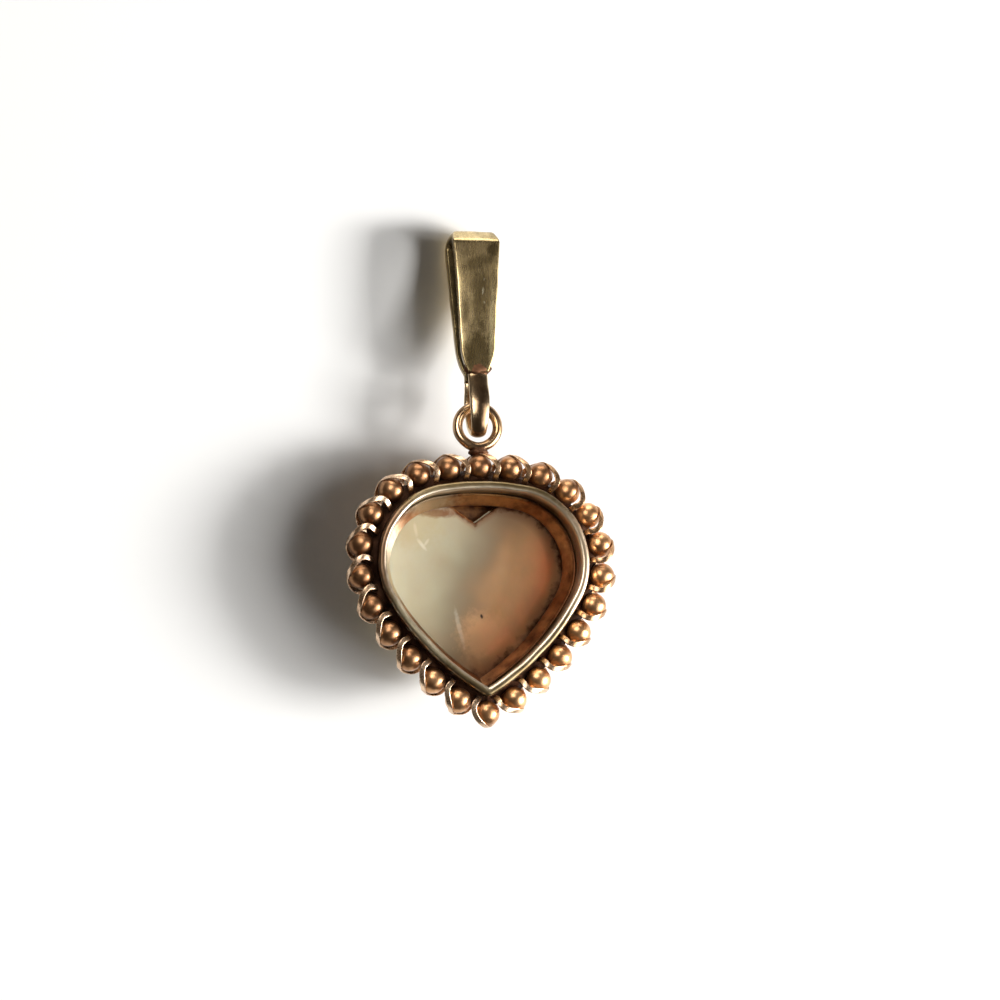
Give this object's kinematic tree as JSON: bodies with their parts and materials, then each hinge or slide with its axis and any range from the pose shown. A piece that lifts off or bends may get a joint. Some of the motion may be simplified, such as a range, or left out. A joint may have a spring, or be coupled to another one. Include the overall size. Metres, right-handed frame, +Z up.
{
  "type": "heart pendant",
  "caption": "Heart-shaped stone pendant in an open-backed gold setting with a beaded, ribbon-wound edge, a hanging ring and a folded bail.",
  "frame": {"origin": "inside crown of the bail's fold, where the chain lies", "axes": "+Z up along the hanging pendant; the setting's open back faces -Y and the domed front +Y; +X to the right seen from the back"},
  "size_m": [0.0152, 0.0049, 0.0276],
  "materials": {
    "yellow_gold": "worn, brushed",
    "rose_gold": "polished",
    "heart_stone": "polished, mottled",
    "dark_metal": "tarnished"
  },
  "bodies": {
    "bail": {"bail_strap": "yellow_gold", "bail_loop": "yellow_gold"},
    "ring": {"hanging_ring": "yellow_gold"},
    "heart": {"collet_wall": "yellow_gold", "stone_bearing": "yellow_gold", "stone": "heart_stone", "cleft_plate": "dark_metal", "ribbon_coil": "rose_gold", "bead_01": "rose_gold", "bead_02": "rose_gold", "bead_03": "rose_gold", "bead_04": "rose_gold", "bead_05": "rose_gold", "bead_06": "rose_gold", "bead_07": "rose_gold", "bead_08": "rose_gold", "bead_09": "rose_gold", "bead_10": "rose_gold", "bead_11": "rose_gold", "bead_12": "rose_gold", "bead_13": "rose_gold", "bead_14": "rose_gold", "bead_15": "rose_gold", "bead_16": "rose_gold", "bead_17": "rose_gold", "bead_18": "rose_gold", "bead_19": "rose_gold", "bead_20": "rose_gold", "bead_21": "rose_gold", "bead_22": "rose_gold", "bead_23": "rose_gold", "bead_24": "rose_gold"}
  },
  "joints": [
    {"name": "heart_swing", "type": "hinge", "parent": "bail", "child": "ring", "pos_m": [0, 0, -0.00924], "axis": [1, 0, 0], "range_deg": [-120, 120]},
    {"name": "heart_sway", "type": "hinge", "parent": "ring", "child": "heart", "pos_m": [0, 0, -0.01037], "axis": [0, 1, 0], "range_deg": [-90, 90]}
  ]
}
